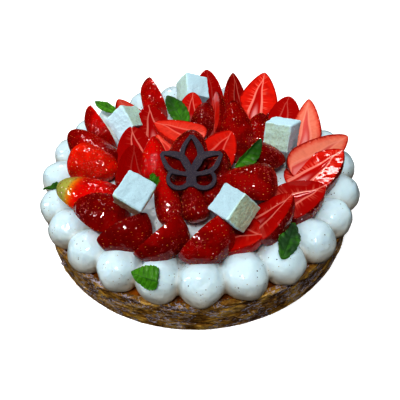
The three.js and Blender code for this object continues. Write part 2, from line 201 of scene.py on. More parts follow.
def stretch(value, low, high, to_low=0, to_high=1):
    """value taken from low..high to to_low..to_high, smoothly and no further."""
    sockets = {"Value": value, "From Min": low, "From Max": high, "To Min": to_low, "To Max": to_high}
    return add_node(value.id_data, "MapRange", sockets, interpolation_type="SMOOTHSTEP").outputs["Result"]


def noise_at(place, scale, detail=3, roughness=0.5):
    sockets = {"Vector": place, "Scale": scale, "Detail": detail, "Roughness": roughness}
    return add_node(place.id_data, "TexNoise", sockets).outputs["Fac"]


def object_place(material, scale=(1, 1, 1)):
    """Object coordinates, stretched by scale."""
    here = add_node(material.node_tree, "TexCoord").outputs["Object"]
    return add_node(material.node_tree, "Mapping", {"Vector": here, "Scale": scale}).outputs["Vector"]


def calculate(operation, first, *others):
    sockets = dict(enumerate((first, *others)))
    return add_node(first.id_data, "Math", sockets, operation=operation).outputs["Value"]


def times(product, *values):
    for value in values:
        product = calculate("MULTIPLY", product, value)
    return product


def thin_lines(value, middle, width):
    """1 where value passes through middle, falling to 0 within width: lines that wander and close."""
    return stretch(calculate("ABSOLUTE", calculate("SUBTRACT", value, middle)), 0, width, 1, 0)


def add_relief(height, strength, distance):
    sockets = {"Height": height, "Strength": strength, "Distance": distance}
    bump = add_node(height.id_data, "Bump", sockets).outputs["Normal"]
    join_shader("Normal", bump)
    join_shader("Coat Normal", bump)


def store_values(piece, name, values):
    """Keeps a number, or a vector, at each vertex of a piece, for its material."""
    values = np.array(values, np.float32)
    kind, field = ("FLOAT", "value") if values.ndim == 1 else ("FLOAT_VECTOR", "vector")
    piece.data.attributes.new(name, kind, "POINT").data.foreach_set(field, values.ravel())


def stored(material, name, output="Fac"):
    return add_node(material.node_tree, "Attribute", attribute_name=name).outputs[output]


def reshape(piece, move):
    """Moves every vertex of a piece to where move says."""
    for vertex in piece.data.vertices:
        vertex.co = move(vertex.co.copy())


def take_up(*pieces):
    """Selects these pieces and nothing else, with the first of them active."""
    bpy.ops.object.select_all(action="DESELECT")
    for piece in pieces:
        piece.select_set(True)
    bpy.context.view_layer.objects.active = pieces[0]


def finish_piece(piece, name, slot_name, node, crease, *materials):
    """Names a piece, gives it its materials, smooths it but for edges sharper than crease degrees, and
    bakes its place into its mesh. It rides on the tart, in the place of node if there is one."""
    piece.name = name
    for material in materials:
        piece.data.materials.append(material)
    take_up(piece)
    bpy.ops.object.shade_smooth_by_angle(angle=radians(crease))
    bpy.ops.object.transform_apply(location=True, rotation=True, scale=True)
    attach(piece, "root")
    if node:
        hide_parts(node)


def select_parts(piece, kind, chosen):
    """In edit mode, selects the faces or the edges that chosen picks, and nothing else."""
    bpy.ops.mesh.select_mode(type=kind)
    bpy.ops.mesh.select_all(action="DESELECT")
    mesh = bmesh.from_edit_mesh(piece.data)
    for part in mesh.faces if kind == "FACE" else mesh.edges:
        part.select = chosen(part)
    mesh.select_flush_mode()
    bmesh.update_edit_mesh(piece.data)


def is_upright(edge):
    return abs(edge.verts[0].co.z - edge.verts[1].co.z) > 0.5 * edge.calc_length()


def looks_up(face):
    return face.normal.z > 0.9


bpy.ops.mesh.primitive_cylinder_add(
    vertices=CRUST_SIDES, radius=(CRUST_RADIUS - 0.3) * MM, depth=CRUST_HEIGHT * MM,
    location=(0, 0, CRUST_HEIGHT * MM / 2),
)
crust = bpy.context.object
bpy.ops.object.mode_set(mode="EDIT")
select_parts(crust, "EDGE", is_upright)
bpy.ops.mesh.subdivide(number_cuts=CRUST_ROWS)
select_parts(crust, "FACE", looks_up)
bpy.ops.mesh.inset(thickness=0.5 * MM)
for _ in range(RIM_ROWS):
    bpy.ops.mesh.inset(thickness=CRUST_WALL * MM / (RIM_ROWS + 1))
for _ in range(RIM_ROWS):
    bpy.ops.mesh.extrude_region_move(TRANSFORM_OT_translate={"value": (0, 0, -RIM_DROP * MM)})
rest_of_wall = CRUST_HEIGHT - CRUST_BASE - RIM_ROWS * RIM_DROP
bpy.ops.mesh.extrude_region_move(TRANSFORM_OT_translate={"value": (0, 0, -rest_of_wall * MM)})
bpy.ops.object.mode_set(mode="OBJECT")
bpy.ops.object.transform_apply(location=True)


def crust_relief(place):
    """Flaky layers that run round the wall and split: how far out it stands in millimetres, and how
    hollow it is, from 0 to 1."""
    angle = atan2(place.y, place.x)
    height = place.z / MM
    round_wall = Vector((cos(angle) * 7, sin(angle) * 7, height * 0.2))
    drift = noise(round_wall * 0.7) * 2.4
    layers = noise(round_wall * 1.3 + Vector((0, 0, drift)))
    crack = abs(noise(round_wall * 2.1 + Vector((7, 3, drift * 1.5))))
    flakes = fractal(round_wall * 5, 0.9, 2.1, 4)
    hollow = min(max(0.5 - 1.1 * layers - 0.5 * flakes, 0), 1)
    out = LAYER_DEPTH * layers + FLAKE_DEPTH * (max(1 - crack / CRACK_WIDTH, 0) + flakes)
    out += GRIT_DEPTH * fractal(place * 900, 0.8, 2, 3)
    return out, hollow


hollows = []


def shape_crust(place):
    angle = atan2(place.y, place.x)
    radius = hypot(place.x, place.y) / MM
    height = place.z / MM
    outside = radius > CRUST_RADIUS - 0.5
    hollow = 0.5
    if height > 0.1:
        if outside:
            near_foot = min(height / 1.5, 1)
            out, hollow = crust_relief(place)
            radius += out * near_foot - 0.25
            round_rim = max(height - CRUST_HEIGHT + 0.9, 0)
            radius -= 0.5 * round_rim ** 2
        if height > CRUST_HEIGHT - 3.5 and radius > CRUST_RADIUS - CRUST_WALL - 0.7:
            height += sum(high * sin(count * angle + start) for count, high, start in RIM_WAVES)
            height += FLAKE_DEPTH * fractal(place * 500, 0.8, 2, 3) - 0.15
            if not outside:
                radius += 0.25 * fractal(place * 350 + Vector((5, 0, 0)), 0.8, 2, 3)
    else:
        radius = min(radius, CRUST_RADIUS - 0.8)
    x = SQUEEZE * radius * cos(angle) + CRUST_SHIFT
    hollows.append(hollow)
    return Vector((x, radius * sin(angle), height)) * MM


reshape(crust, shape_crust)
store_values(crust, "hollow", hollows)

pastry = new_material("browned_pastry", 0.5, Coat_Weight=0.3, Coat_Roughness=0.25)
along_wall = object_place(pastry, (1, 1, 1.7))
# The pastry's baked tones, with painted shade: the wall is drawn darker wherever it is hollow.
baked_and_hollow_shade = ramp(
    stored(pastry, "hollow"),
    (0.1, (0.62, 0.38, 0.08)), (0.45, (0.4, 0.2, 0.026)), (0.85, (0.12, 0.045, 0.004)),
)
patches = stretch(noise_at(along_wall, 150, 4, 0.65), 0.46, 0.64, 0, 0.5)
baked = mix(patches, baked_and_hollow_shade, (0.06, 0.02, 0.001))
fine = noise_at(along_wall, 520, 4, 0.7)
speckled = mix(stretch(fine, 0.42, 0.7, 0, 0.5), baked, (0.42, 0.27, 0.08))
speckled = mix(stretch(fine, 0.5, 0.3, 0, 0.5), speckled, (0.04, 0.014, 0.001))
layer = noise_at(object_place(pastry, (1, 1, 2)), 68, 5, 0.65)
flake_edges = calculate("MAXIMUM", thin_lines(layer, 0.51, 0.028), thin_lines(layer, 0.42, 0.024))
cracks = thin_lines(layer, 0.53, 0.025)
here_and_there = stretch(noise_at(along_wall, 90, 2), 0.38, 0.5, 0.15, 1)
cracked = mix(times(cracks, 0.7), speckled, (0.02, 0.006, 0.001))
# Painted highlight: pale lavender lines along the flake edges, here and there, stand for glints of light.
glint = times(flake_edges, here_and_there, stretch(fine, 0.35, 0.5, 0.35, 0.9))
join_shader("Base Color", mix(glint, cracked, (0.5, 0.48, 0.6)))
crag = calculate("MULTIPLY_ADD", layer, 2.5, fine)
add_relief(crag, 0.7, 0.5 * MM)
finish_piece(crust, "crust_case", "crust", "crust", 60, pastry)

# ---- Filling ----
# A disc of caramel poured into the case and glazed. It shows between the rim and the dollops.
FILLING_TOP = 19.3
FILLING_FOOT = CRUST_BASE + 0.35
FILLING_SIDES = 480
FILLING_RINGS = 24
FILLING_PLAY = 0.45  # the gap between it and the wall
FILLING_TAPER = 0.8  # how much less its radius is at the foot

bpy.ops.mesh.primitive_cylinder_add(
    vertices=FILLING_SIDES, radius=(CRUST_RADIUS - CRUST_WALL - FILLING_PLAY) * MM,
    depth=(FILLING_TOP - FILLING_FOOT) * MM, location=(0, 0, (FILLING_TOP + FILLING_FOOT) * MM / 2),
)
filling = bpy.context.object
bpy.ops.object.mode_set(mode="EDIT")
select_parts(filling, "FACE", looks_up)
for _ in range(FILLING_RINGS):
    bpy.ops.mesh.inset(thickness=0.9 * MM)
bpy.ops.object.mode_set(mode="OBJECT")
bpy.ops.object.transform_apply(location=True)


def shape_filling(place):
    on_top = place.z > (FILLING_TOP + FILLING_FOOT) / 2 * MM
    if on_top:
        place.z += (0.35 * noise(place * 160) + 0.18 * noise(place * 520)) * MM
    radius = hypot(place.x, place.y)
    shrink = 1 if on_top else (radius - FILLING_TAPER * MM) / radius
    return Vector((SQUEEZE * place.x * shrink + CRUST_SHIFT * MM, place.y * shrink, place.z))


reshape(filling, shape_filling)
caramel = new_material("glazed_caramel", 0.3, Coat_Weight=0.6, Coat_Roughness=0.06, Coat_IOR=1.4)
here = object_place(caramel)
cloud = noise_at(here, 110, 4, 0.6)
join_shader("Base Color", mix(stretch(cloud, 0.35, 0.68), (0.1, 0.025, 0.001), (0.46, 0.15, 0.008)))
add_relief(noise_at(here, 300, 1), 0.6, 0.5 * MM)
finish_piece(filling, "caramel_filling", "filling", "filling", 50, caramel)

# ---- Cream ----
# Whipped vanilla cream: a low mound spread over the filling, with a ring of round dollops piped
# round it. The nozzle was drawn inward from each, so they run into the mound.
DOLLOP_ANGLES = [
    -178, -161, -148, -133.5, -119.5, -105, -91, -76.5, -62.5, -47.5, -33.5, -19.5,
    -3.5, 11.5, 26.5, 41.5, 56.5, 71.5, 86, 101, 117, 135, 150.5, 166,
]
DOLLOP_RADIUS = 11.8
DOLLOP_RING = 89.4
DOLLOP_HEIGHT = 27.9
DOLLOP_TAIL = 0.6  # how much longer than a ball a dollop is on its inner side
CREAM_EDGE = 86
RIM_INSIDE = CRUST_RADIUS - CRUST_WALL
SETTLE = 0.6  # how softly a dollop's underside lies on the filling and the rim
CREAM_GRAIN = 0.97  # the size of the faces when the cream is joined into one
MOUND_PROFILE = ([0, 28, 58, 86], [40, 38.5, 35, 29])  # radius and height
MOUND_SIDES = 240
MOUND_RINGS = 40
MOUND_DEPTH = 14
MOUND_MIDDLE = 26.6
# where the painted shade in the creases between the dollops starts, and how wide it is
SEAM_START = CREAM_EDGE - 2
SEAM_WIDTH = 1.3
VANILLA = ((320, (0.06, 0.045, 0.04)), (450, (0.34, 0.27, 0.17)))  # how fine the specks are, and colour


def copy_of(piece):
    """A copy of a piece, with a mesh of its own."""
    copy = piece.copy()
    copy.data = piece.data.copy()
    bpy.context.collection.objects.link(copy)
    return copy


def apply_modifier(piece, kind, **settings):
    """Adds a modifier to a piece, which has to be the active one, sets it and applies it."""
    bpy.ops.object.modifier_add(type=kind)
    modifier = piece.modifiers[-1]
    for name, value in settings.items():
        setattr(modifier, name, value)
    bpy.ops.object.modifier_apply(modifier=modifier.name)


bpy.ops.mesh.primitive_uv_sphere_add(segments=72, ring_count=44, radius=1)
ball = bpy.context.object
dollops = []
for number, degrees in enumerate(DOLLOP_ANGLES):
    angle = radians(degrees)
    radius = DOLLOP_RADIUS - 0.35 * sin(angle) + 0.2 * sin(2.3 * number)
    lift = 0.3 * sin(1.7 * number + 1)
    inset = 4 * max(cos(angle - radians(38)), 0) ** 6
    dollop = copy_of(ball)
    offset = Vector((number * 3.7, 1.3, 0))

    def shape_dollop(place):
        unit = place.copy()
        inner = max(-unit.x, 0)
        tail = 1 + DOLLOP_TAIL * inner ** 0.5
        fold = 0.1 * inner ** 2 * noise(unit * 2.4 + offset)
        slack = 0.07 * noise(unit * 1.4 + offset) + 0.025 * noise(unit * 4 + offset)
        out = unit * radius * (1 + slack + fold)
        x = out.x * tail + DOLLOP_RING - inset
        y = out.y * (1 - 0.12 * inner ** 2)
        turned = Vector((SQUEEZE * (x * cos(angle) - y * sin(angle)),
                         x * sin(angle) + y * cos(angle), 0))
        height = DOLLOP_HEIGHT + lift + out.z * (1 - 0.05 * inner)
        to_case = hypot((turned.x - CRUST_SHIFT) / SQUEEZE, turned.y)
        if to_case < CRUST_RADIUS + 0.5:
            on_rim = min(max((to_case - RIM_INSIDE + 1) / 2, 0), 1)
            rest = FILLING_TOP + 0.5 + on_rim * (CRUST_HEIGHT + 0.8 - FILLING_TOP)
            if height < rest + SETTLE:
                height = rest + SETTLE * exp((height - rest - SETTLE) / SETTLE)
        return Vector((turned.x, turned.y, height)) * MM

    reshape(dollop, shape_dollop)
    dollops.append(dollop)
bpy.data.objects.remove(ball)

bpy.ops.mesh.primitive_cylinder_add(
    vertices=MOUND_SIDES, radius=CREAM_EDGE * MM, depth=MOUND_DEPTH * MM,
    location=(0, 0, MOUND_MIDDLE * MM),
)
mound = bpy.context.object
bpy.ops.object.mode_set(mode="EDIT")
select_parts(mound, "FACE", looks_up)
for _ in range(MOUND_RINGS):
    bpy.ops.mesh.inset(thickness=2.1 * MM)
bpy.ops.mesh.merge(type="CENTER")
bpy.ops.object.mode_set(mode="OBJECT")
bpy.ops.object.transform_apply(location=True)


def shape_mound(place):
    radius = hypot(place.x, place.y) / MM
    height = place.z / MM
    if height > MOUND_MIDDLE:
        height = float(np.interp(radius, *MOUND_PROFILE)) - 0.2
        height += 0.8 * noise(place * 70) + 0.3 * noise(place * 210)
    else:
        height = FILLING_TOP + 0.4
    return Vector((SQUEEZE * place.x, place.y, height * MM))


reshape(mound, shape_mound)
take_up(mound, *dollops)
bpy.ops.object.join()
cream = bpy.context.object
apply_modifier(cream, "REMESH", mode="VOXEL", voxel_size=CREAM_GRAIN * MM)
apply_modifier(cream, "SMOOTH", iterations=2)

# How near each point of the cream lies to a crease between two dollops, kept for the painted shade there.
following = [*DOLLOP_ANGLES[1:], DOLLOP_ANGLES[0] + 360]
seams = np.radians([(a + b) / 2 for a, b in zip(DOLLOP_ANGLES, following)])
places = np.array([vertex.co for vertex in cream.data.vertices]) / MM
round_tart = np.arctan2(places[:, 1], places[:, 0] / SQUEEZE)
off_seam = np.abs(np.angle(np.exp(1j * (round_tart[:, None] - seams[None, :])))).min(axis=1)
out_from_middle = np.hypot(places[:, 0] / SQUEEZE, places[:, 1])
in_seam = np.exp(-((off_seam * out_from_middle / SEAM_WIDTH) ** 2))
store_values(cream, "painted_seam_shade", in_seam * np.clip((out_from_middle - SEAM_START) / 6, 0, 1))


def specks(place, scale, dot, share):
    """Dots in some of the cells of a pattern. Each dot, and the share of cells that have one, fades out
    between two values."""
    cells = add_node(place.id_data, "TexVoronoi", {"Vector": place, "Scale": scale}).outputs
    chance = add_node(place.id_data, "SeparateColor", {"Color": cells["Color"]}).outputs["Red"]
    return times(stretch(cells["Distance"], *dot, 1, 0), stretch(chance, *share, 1, 0))


def axes_of(vector):
    return add_node(vector.id_data, "SeparateXYZ", {"Vector": vector}).outputs


whipped = new_material(
    "vanilla_cream", 0.5, Specular_IOR_Level=0.3, Coat_Weight=0.8, Coat_Roughness=0.06,
    Subsurface_Weight=0.25, Subsurface_Radius=(1, 0.8, 0.6), Subsurface_Scale=1.5 * MM,
)
here = object_place(whipped)
body = mix(noise_at(here, 60), (0.62, 0.78, 0.83), (0.69, 0.84, 0.89))
for scale, tint in VANILLA:
    body = mix(specks(here, scale, (0.08, 0.13), (0.6, 0.6001)), body, tint)
height = axes_of(here)["Z"]
# Low down the cream turns beige and darker: partly caramel soaked up from the filling, partly painted warm
# bounce light and shade.
body = mix(stretch(height, 22 * MM, 38 * MM, 0.95, 0), body, (0.62, 0.5, 0.36))
# Painted shade: the creases between the dollops are drawn darker and browner, most of all low down.
painted_seam_shade = times(stored(whipped, "painted_seam_shade"), stretch(height, 22 * MM, 37 * MM, 0.9, 0.1))
body = mix(painted_seam_shade, body, (0.3, 0.2, 0.11))
join_shader("Base Color", body)
add_relief(noise_at(here, 170, 2, 0.6), 0.7, 1 * MM)
finish_piece(cream, "piped_cream", "cream", "cream", 60, whipped)

# ---- Strawberries ----
# Fresh strawberries, hulled and cut in half lengthwise, then brushed with clear glaze. A half has
# red skin set with seeds in small dimples, and a flat cut face with a pale core and pale rays.
# Each line gives stem and tip of the cut face's middle line, width, roll (0 is cut face up and 180
# is skin up), how ripe the skin is, how pale the flesh is, how plain its core shows, and how straight
# the sides run to the tip (0 is round and 1 a cone).
BERRIES = [
    # the front row, fanned round from left to right
    ((-12, -60, 43), (-34, -80, 42), 30, 62, 0.9, 0.3, 0.5, 0.1),
    ((8, -62, 38), (-11, -84, 46), 32, 71, 0.85, 0.4, 0.5, 0.2),
    ((10, -63, 36), (31, -74, 44), 29, 0, 0.8, 0.2, 0.7, 0.5),
    ((-28, -57, 40), (-53, -71, 43), 27, 70, 0.95, 0.3, 0.5, 0),
    ((24, -66, 38), (47, -57, 55), 28, -19, 0.9, 0.1, 0.8, 0.5),
    ((42, -48, 39), (68, -44, 48), 31, -7, 0.9, 0.05, 0.8, 0.5),
    ((53, -31, 36), (84, -17, 51), 32, -8, 0.9, 0.3, 1, 0.5),
    ((55, -22, 39), (92, -1, 49), 24, 36, 0.85, 0.95, 0.6, 0.6),
    # the left side
    ((-42, -61, 41), (-68, -38, 41), 25, 197, 0.95, 0.3, 0.5, 0),
    ((-44, -47, 39), (-81, -27, 43), 25, 188, 0.66, 0.3, 0.5, 0),
    ((-77, 0, 40), (-48, -15, 42), 26, 222, 0.52, 0.6, 0.5, 0.2),
    ((-52, -10, 36), (-82, 21, 47.5), 25, 178, 0.85, 0.3, 0.5, 0.3),
    # round the ornament
    ((-1, -60, 41), (-6, -43, 54), 15, 177, 0.95, 0.3, 0.5, 0.5),
    ((-15, -59, 38), (-21, -31, 56), 15, 182, 0.8, 0.3, 0.5, 0.5),
    ((4, -52, 44), (18, -40, 49), 16, 180, 0.95, 0.3, 0.5, 0.5),
    ((9, -35, 44), (14, -15, 54), 17, 180, 0.95, 0.3, 0.5, 0.5),
    ((43, -40, 45), (8, -36, 47), 25, 183, 0.9, 0.3, 0.5, 0.5),
    ((-7, -34, 48), (-2, -2, 59), 28, 146, 0.95, 0.3, 0.5, 0.5),
    ((-14, -38, 40), (10, -33, 46), 20, 180, 0.95, 0.3, 0.5, 0.5),
    ((-25, -27, 42), (-25, -8, 61), 17, 180, 0.7, 0.3, 0.5, 0.5),
    ((-36, -33, 39), (-38, -3, 52), 24, 31, 0.85, 0, 0.2, 0.5),
    ((28, -13, 44), (52, -15, 44), 23, 181, 0.95, 0.3, 0.5, 0.5),
    ((6, -19, 46), (21, -1, 57), 23, 20, 0.85, 0.3, 0.5, 0.5),
    ((4, -4, 55), (-26, 13, 57), 24, 0, 0.7, 0.5, 0.5, 0.5),
    ((-11, -25, 48), (-24, 4, 54), 22, 0, 0.7, 0.55, 0.4, 0.5),
    ((-36, -12, 40), (-41, 16, 53), 25, 2, 0.9, 0, 0.7, 0.5),
    ((26, -8, 38), (24, 29, 60), 24, 180, 0.9, 0.3, 0.5, 0.5),
    ((37, -3, 36), (42, 22, 54), 25, 180, 0.9, 0.3, 0.5, 0.5),
    ((-26, 9, 43), (-31, 36, 56), 25, 2, 0.9, 0, 0.7, 0.5),
    ((5, 18, 41), (7, 42, 52), 20, 180, 0.95, 0.3, 0.5, 0.5),
    ((9, 13, 43), (14, 43, 59), 22, -62, 0.85, 0.4, 0.6, 0.5),
    ((-5, 25, 44), (-1, 46, 58), 19, 4, 0.85, 0.2, 0.7, 0.3),
    # the back row, standing and leaning outward, from right to left
    ((67, 4, 37), (76, 38, 53), 22, -23, 0.85, 0.9, 0.8, 0.8),
    ((56, 23, 38), (65, 48, 50), 22, 1, 0.85, 0.05, 0.3, 0.3),
    ((39.5, 38.5, 36), (51, 71, 57), 27, 2, 0.75, 0.4, 1, 0.9),
    ((32, 53, 34), (28, 69, 59), 23, 34, 0.85, 0.15, 0.7, 0.8),
    ((10, 55, 38), (10, 84, 55), 22, 6, 0.85, 0, 0.15, 0.5),
    ((-20, 51, 39), (-33, 78, 53), 28, 80, 0.7, 0.4, 0.6, 0.3),
    ((-53, 17, 38), (-72, 46, 51), 24, 78, 0.72, 0.5, 0.6, 0.2),
    ((-39, 42, 39), (-54, 58, 49), 23, 22, 0.8, 0.6, 0.5, 0.5),
]
UNRIPE = 9  # the one berry whose tip is still green
WAISTED = 34  # the one berry with a neck: its widest place is nearer the middle
WAISTED_SHOULDER = 0.46
WAISTED_NECK = 0.75
SHOULDER = 0.27  # where the others are widest, as a share of their length
BERRY_FINENESS = (112, 72)  # faces round it and along it
SEED_SIZE = (0.27, 0.46, 0.26)  # half of its width, length and depth
SEED_GAP = 2.5
DIMPLE_RADIUS = 1.05
DIMPLE_DEPTH = 0.3
SEED_REST = 0.12  # how far a seed's middle lies over the bottom of its dimple
CORE_WIDTH = 0.42
CORE_END = 0.86  # where its point is, as a share of the length
CORE_DEPTH = 0.5
VEIN_HEIGHT = 0.14


def berry_fullness(share, shoulder, neck, point):
    """The half width at a share of the length from stem to tip, where 1 is the widest place."""
    low = np.clip((shoulder - share) / shoulder, 0, 1)
    high = np.clip((share - shoulder) / (1 - shoulder), 0, 1)
    stem_end = (1 - low ** (2.6 - 1.5 * neck)) ** (0.5 + 0.4 * neck)
    tip_end = (1 - high ** (2.1 - 0.95 * point)) ** (0.5 + 0.22 * point)
    return np.where(share < shoulder, stem_end, tip_end)


def core_width(share):
    """Half width of the pale core in the cut face: a V with its point towards the tip."""
    return CORE_WIDTH * np.clip(1 - share / CORE_END, 0, 1) ** 0.85 * np.sqrt(np.clip(share / 0.06, 0, 1))


def seed_places(length, width, outline, draw):
    """Shares and turns of the seeds: rows round the skin, each set off from the one before."""
    places = []
    rows = max(int(length / SEED_GAP), 4)
    for row in range(rows):
        share = (row + 0.6) / (rows + 0.2)
        half_round = pi * width / 2 * float(berry_fullness(np.array(share), *outline))
        count = max(round(half_round / SEED_GAP), 1)
        for column in range(count):
            turn = pi * (column + 0.2 + 0.6 * (row % 2)) / count
            turn += draw.uniform(-0.08, 0.08)
            share_here = share + draw.uniform(-0.012, 0.012)
            if 0.25 < turn < pi - 0.25:
                places.append((share_here, turn))
        for turn in (0.04, pi - 0.04):
            places.append((share + draw.uniform(-0.02, 0.02), turn))
    return np.array(places)


# One half is modelled as a ball whose upper side is pressed flat, with its poles at stem and tip.
bpy.ops.mesh.primitive_uv_sphere_add(
    segments=BERRY_FINENESS[0], ring_count=BERRY_FINENESS[1], radius=1, rotation=(-pi / 2, 0, 0),
)
half = bpy.context.object
bpy.ops.object.transform_apply(rotation=True)
bpy.ops.object.mode_set(mode="EDIT")
select_parts(half, "FACE", lambda face: face.calc_center_median().z > 0)
bpy.ops.transform.resize(value=(1, 1, 0), center_override=(0, 0, 0))
bpy.ops.object.mode_set(mode="OBJECT")
ball_place = np.array([vertex.co for vertex in half.data.vertices])
is_flat = np.abs(ball_place[:, 2]) < 1e-5
is_skin = ~is_flat
flesh_faces = [all(is_flat[corner] for corner in face.vertices) for face in half.data.polygons]

# A seed is a small pointed drop.
bpy.ops.mesh.primitive_uv_sphere_add(segments=5, ring_count=4, radius=1, rotation=(-pi / 2, 0, 0))
seed = bpy.context.object
bpy.ops.object.transform_apply(rotation=True)
reshape(seed, lambda place: Vector((
    SEED_SIZE[0] * place.x * (1 - 0.35 * place.y), SEED_SIZE[1] * place.y, SEED_SIZE[2] * place.z,
)))
seed_mesh = seed.data
all_seeds = bmesh.new()

skin = new_material(
    "strawberry_skin", 0.5, Specular_IOR_Level=0.05, Coat_Weight=1, Coat_Roughness=0.04, Coat_IOR=1.45,
)
here = object_place(skin)
ripe = stored(skin, "ripe")
red = ramp(
    ripe, (0, (0.4, 0.42, 0.1)), (0.2, (0.75, 0.26, 0.012)), (0.4, (0.8, 0.04, 0.002)),
    (0.6, (0.72, 0.004, 0.0005)), (1, (0.17, 0, 0)),
)
mottle = times(stretch(noise_at(here, 80, 4, 0.6), 0.38, 0.62, 0, 0.75), ripe)
skin_tone = mix(mottle, red, (0.12, 0, 0))
# Fine hairs drawn pale, in patches, as painted sheen where they catch the light.
hair_sheen = thin_lines(noise_at(here, 330, 2, 0.6), 0.5, 0.022)
patchy = stretch(noise_at(here, 75, 1), 0.53, 0.64, 0, 0.5)
skin_tone = mix(times(hair_sheen, patchy), skin_tone, (0.72, 0.2, 0.2))
# Painted highlights: small bright dots stand for glints of the glaze.
sparkles = specks(here, 420, (0.1, 0.2), (0, 0.18))
skin_tone = mix(sparkles, skin_tone, (1, 0.8, 0.9))
join_shader("Base Color", skin_tone)
add_relief(noise_at(here, 260, 0), 1, 0.6 * MM)

pulp = new_material(
    "strawberry_flesh", 0.5, Specular_IOR_Level=0.05, Coat_Weight=1, Coat_Roughness=0.07, Coat_IOR=1.42,
)
here = object_place(pulp)
# from_vein is 0 on the vein round the core, and less inside it
from_vein, from_skin, share_along = axes_of(stored(pulp, "zone", "Vector"))
ray = stored(pulp, "ray", "Vector")
pale, core_strength = axes_of(stored(pulp, "look", "Vector"))[:2]
flesh = ramp(pale, (0, (0.34, 0, 0)), (0.4, (0.72, 0.02, 0.006)), (1, (0.85, 0.3, 0.2)))
soft = noise_at(here, 260, 3)
cloudy = times(stretch(soft, 0.4, 0.8), stretch(pale, 0.3, 0.8, 0.5, 0.15))
flesh = mix(cloudy, flesh, (0.35, 0, 0))
ray_noise = noise_at(ray, 1, 0)
outside_vein = stretch(from_vein, 0, 0.05)
ray_depth = stretch(pale, 0.3, 0.7, 0.2, 0.02)
dark_rays = times(stretch(ray_noise, 0.33, 0.5, 1, 0), outside_vein, ray_depth)
flesh = mix(dark_rays, flesh, (0.4, 0, 0))
fade_out = stretch(from_vein, 0.05, 0.4, 1, 0)
strong = stretch(core_strength, 0.6, 1, 0.08, 0.45)
streaks = times(stretch(ray_noise, 0.5, 0.66), outside_vein, fade_out, strong)
flesh = mix(streaks, flesh, (0.9, 0.3, 0.2))
at_stem = times(
    stretch(share_along, 0.02, 0.4, 1, 0), core_strength, 0.35, stretch(ray_noise, 0.4, 0.6, 0.3, 1),
)
flesh = mix(at_stem, flesh, (0.88, 0.33, 0.25))
in_core = stretch(from_vein, -0.12, -0.01, 0.7, 0)
core_tint = mix(stretch(pale, 0.4, 0.9), (0.42, 0, 0.001), (0.66, 0.07, 0.08))
flesh = mix(in_core, flesh, core_tint)
near_stem = stretch(share_along, 0.15, 0.45, 1, 0)
pocket = times(stretch(from_vein, -0.3, -0.12, 1, 0), near_stem, core_strength, 0.8)
flesh = mix(pocket, flesh, (0.85, 0.4, 0.38))
narrow = stretch(share_along, 0, 0.9, 0.05, 0)
vein_side = calculate("SUBTRACT", calculate("ABSOLUTE", from_vein), narrow)
vein = times(stretch(vein_side, 0.005, 0.05, 1, 0), core_strength, 0.75)
flesh = mix(vein, flesh, (0.88, 0.34, 0.27))
scalloped = stretch(noise_at(here, 500, 1), 0.3, 0.7, -0.03, 0.03)
from_skin = calculate("ADD", from_skin, scalloped)
near_rim = times(stretch(from_skin, 0.08, 0.34, 0.6, 0), stretch(pale, 0.05, 0.4))
flesh = mix(near_rim, flesh, (0.7, 0.02, 0.004))
edge = stretch(from_skin, 0.02, 0.12, 0.85, 0)
flesh = mix(edge, flesh, (0.34, 0.002, 0))
# Painted highlights: bright dots along the rim stand for glints of the glaze.
sparkles = times(specks(here, 520, (0.12, 0.24), (0.4, 0.44)), stretch(from_skin, 0.05, 0.14, 1, 0))
join_shader("Base Color", mix(sparkles, flesh, (1, 0.7, 0.72)))
add_relief(noise_at(here, 160, 1), 0.35, 0.9 * MM)

